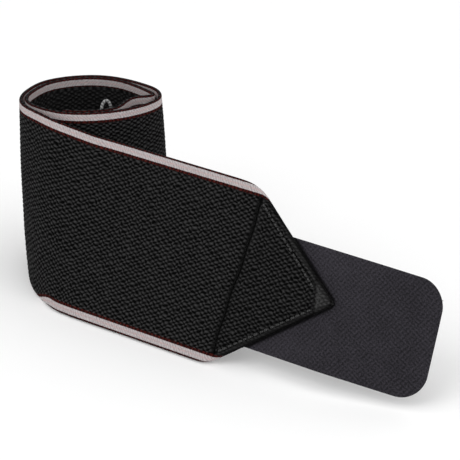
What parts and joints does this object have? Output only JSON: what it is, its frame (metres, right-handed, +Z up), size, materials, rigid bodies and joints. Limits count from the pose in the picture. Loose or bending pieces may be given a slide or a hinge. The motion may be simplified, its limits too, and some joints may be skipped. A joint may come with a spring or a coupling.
{
  "type": "wrist support wrap",
  "caption": "Coiled woven elastic wrist wrap standing on its edge, with silver edge stripes, a pointed stitched end, a hook-tape closing tab and a thumb loop.",
  "frame": {"origin": "centre of the bounding box at the level the coil stands on", "axes": "+Z up along the coil's standing axis; the tail and its tab run off to +X and -Y; +Y is behind the coil"},
  "size_m": [0.172, 0.1712, 0.0766],
  "materials": {
    "web": "black crepe-woven elastic",
    "stripe": "silver-grey woven selvedge with dark red yarns",
    "tape": "charcoal twill backing",
    "hook": "moulded nylon hooks",
    "thread": "black sewing thread",
    "cord": "covered elastic cord"
  },
  "bodies": {
    "coil": {"coil_web": "web", "coil_lower_stripe": "stripe", "coil_upper_stripe": "stripe", "inner_hem": "web", "hem_seam": "thread", "loop_bartack": "thread"},
    "tail": {"tail_web": "web", "tail_lower_stripe": "stripe", "tail_upper_stripe": "stripe", "arrow_face": "web", "lower_folded_corner": "web", "upper_folded_corner": "web", "sewn_tape_backing": "tape", "sewn_tape_hooks": "hook", "base_seam": "thread", "lower_diagonal_seam": "thread", "upper_diagonal_seam": "thread", "tape_end_seam": "thread"},
    "tab": {"tab_backing": "tape", "tab_hooks": "hook"},
    "thumb_loop": {"thumb_loop_cord": "cord"}
  },
  "joints": [
    {"name": "tail_unroll", "type": "hinge", "parent": "coil", "child": "tail", "pos_m": [-0.06552, 0.00005, 0.00078], "axis": [0.2909, 0.3724, 0.8813], "range_deg": [-70, 5]},
    {"name": "tab_peel", "type": "hinge", "parent": "tail", "child": "tab", "pos_m": [0.03453, -0.0733, -0.00125], "axis": [0.2909, 0.3724, 0.8813], "range_deg": [-60, 35]},
    {"name": "loop_flip", "type": "hinge", "parent": "coil", "child": "thumb_loop", "pos_m": [-0.04827, 0.04655, 0.0473], "axis": [0, 0, 1], "range_deg": [-8, 55]}
  ]
}
